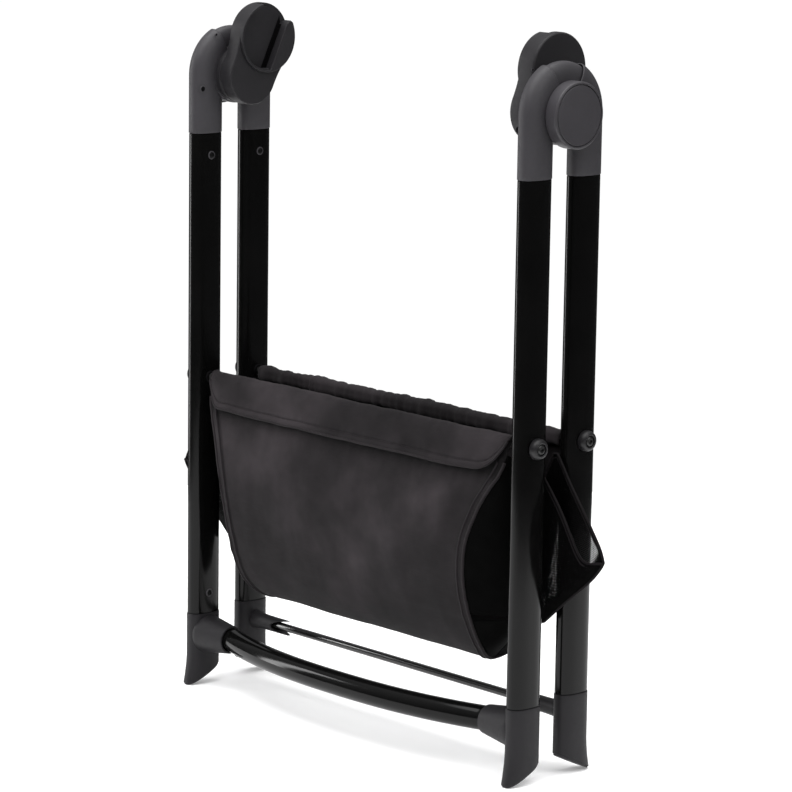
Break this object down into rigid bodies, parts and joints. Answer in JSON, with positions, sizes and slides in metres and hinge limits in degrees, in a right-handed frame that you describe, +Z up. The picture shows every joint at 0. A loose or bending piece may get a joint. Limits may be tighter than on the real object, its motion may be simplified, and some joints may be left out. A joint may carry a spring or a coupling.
{
  "type": "bassinet stand",
  "caption": "Folding black stand for a bassinet, folded: two leg frames on a shared hub axis, tilting adaptors, push-button hubs and a hanging fabric basket with net ends.",
  "frame": {"origin": "the middle of the folded stand's footprint, on the floor", "axes": "+Z up, +X to the stand's right, -Y its front, where the bowed bar is"},
  "size_m": [0.675, 0.1443, 0.7933],
  "materials": {
    "leg_paint": "gloss black coat on aluminium tube",
    "body_plastic": "fine matt charcoal moulding",
    "cap_plastic": "smooth satin charcoal moulding, left bare",
    "sole_rubber": "matt black rubber",
    "dark_steel": "blackened steel",
    "basket_cloth": "black woven polyester",
    "basket_net": "fine black net"
  },
  "bodies": {
    "front_frame": {"leg_tube_front_left": "leg_paint", "leg_tube_front_right": "leg_paint", "elbow_front_left": "body_plastic", "elbow_front_right": "body_plastic", "hub_core_left": "body_plastic", "hub_core_right": "body_plastic", "hub_pivot_left": "dark_steel", "hub_pivot_right": "dark_steel", "hub_cap_ring_left": "cap_plastic", "hub_cap_ring_right": "cap_plastic", "foot_front_left": "body_plastic", "foot_front_right": "body_plastic", "sole_pad_front_left": "sole_rubber", "sole_pad_front_right": "sole_rubber", "rod_knob_front_left": "body_plastic", "rod_knob_front_right": "body_plastic", "rod_bolt_front_left": "dark_steel", "rod_bolt_front_right": "dark_steel", "tube_screw_front_top_left": "dark_steel", "tube_screw_front_top_right": "dark_steel", "tube_screw_front_low_left": "dark_steel", "tube_screw_front_low_right": "dark_steel", "button_spring_left": "dark_steel", "button_spring_right": "dark_steel", "front_bow_bar": "leg_paint", "basket_rod_front": "dark_steel"},
    "back_frame": {"leg_tube_back_left": "leg_paint", "leg_tube_back_right": "leg_paint", "elbow_back_left": "body_plastic", "elbow_back_right": "body_plastic", "adaptor_base_left": "body_plastic", "adaptor_base_right": "body_plastic", "adaptor_cover_left": "body_plastic", "adaptor_cover_right": "body_plastic", "foot_back_left": "body_plastic", "foot_back_right": "body_plastic", "sole_pad_back_left": "sole_rubber", "sole_pad_back_right": "sole_rubber", "rod_knob_back_left": "body_plastic", "rod_knob_back_right": "body_plastic", "rod_bolt_back_left": "dark_steel", "rod_bolt_back_right": "dark_steel", "tube_screw_back_top_left": "dark_steel", "tube_screw_back_top_right": "dark_steel", "back_cross_bar": "leg_paint", "basket_rod_back": "dark_steel"},
    "release_left": {"release_button_left": "cap_plastic"},
    "release_right": {"release_button_right": "cap_plastic"},
    "basket_front": {"basket_front_panel": "basket_cloth", "basket_front_flap": "basket_cloth", "net_return_front_left": "basket_net", "net_return_front_right": "basket_net"},
    "basket_bottom": {"basket_bottom_panel": "basket_cloth"},
    "basket_back": {"basket_back_panel": "basket_cloth", "net_return_back_left": "basket_net", "net_return_back_right": "basket_net"},
    "net_front_left": {"net_flap_front_left": "basket_net"},
    "net_front_right": {"net_flap_front_right": "basket_net"},
    "net_back_left": {"net_flap_back_left": "basket_net"},
    "net_back_right": {"net_flap_back_right": "basket_net"}
  },
  "joints": [
    {"name": "fold", "type": "hinge", "parent": "front_frame", "child": "back_frame", "pos_m": [0, 0.00635, 0.712], "axis": [1, 0, 0], "range_deg": [0, 50]},
    {"name": "release_left_push", "type": "slide", "parent": "front_frame", "child": "release_left", "axis": [1, 0, 0], "range_m": [0, 0.004], "stiffness_N_per_m": 1200, "springref_m": -0.002, "deforming": ["button_spring_left"]},
    {"name": "release_right_push", "type": "slide", "parent": "front_frame", "child": "release_right", "axis": [-1, 0, 0], "range_m": [0, 0.004], "stiffness_N_per_m": 1200, "springref_m": -0.002, "deforming": ["button_spring_right"]},
    {"name": "basket_front_swing", "type": "hinge", "parent": "front_frame", "child": "basket_front", "pos_m": [0, -0.02965, 0.365], "axis": [1, 0, 0], "range_deg": [0, 70.8]},
    {"name": "basket_bottom_bend", "type": "hinge", "parent": "basket_front", "child": "basket_bottom", "pos_m": [0, -0.04315, 0.1705], "axis": [1, 0, 0], "range_deg": [-45.8, 0]},
    {"name": "basket_back_swing", "type": "hinge", "parent": "back_frame", "child": "basket_back", "pos_m": [0, 0.04235, 0.365], "axis": [1, 0, 0], "range_deg": [-70.8, 0]},
    {"name": "net_front_left_unfold", "type": "hinge", "parent": "basket_front", "child": "net_front_left", "pos_m": [-0.236, -0.00765, 0.174], "axis": [0.08, -0.0254, -0.9965], "range_deg": [0, 42.1]},
    {"name": "net_front_right_unfold", "type": "hinge", "parent": "basket_front", "child": "net_front_right", "pos_m": [0.236, -0.00765, 0.174], "axis": [0.08, 0.0254, 0.9965], "range_deg": [0, 42.1]},
    {"name": "net_back_left_unfold", "type": "hinge", "parent": "basket_back", "child": "net_back_left", "pos_m": [-0.236, 0.02035, 0.174], "axis": [-0.08, -0.0254, 0.9965], "range_deg": [0, 42.1]},
    {"name": "net_back_right_unfold", "type": "hinge", "parent": "basket_back", "child": "net_back_right", "pos_m": [0.236, 0.02035, 0.174], "axis": [-0.08, 0.0254, -0.9965], "range_deg": [0, 42.1]}
  ],
  "couplings": [
    {"joint": "basket_front_swing", "follows": "fold", "ratio": 1.414},
    {"joint": "basket_bottom_bend", "follows": "fold", "ratio": -0.91402},
    {"joint": "basket_back_swing", "follows": "fold", "ratio": -1.414},
    {"joint": "net_front_left_unfold", "follows": "fold", "ratio": 0.84},
    {"joint": "net_front_right_unfold", "follows": "fold", "ratio": 0.84},
    {"joint": "net_back_left_unfold", "follows": "fold", "ratio": 0.84},
    {"joint": "net_back_right_unfold", "follows": "fold", "ratio": 0.84}
  ]
}
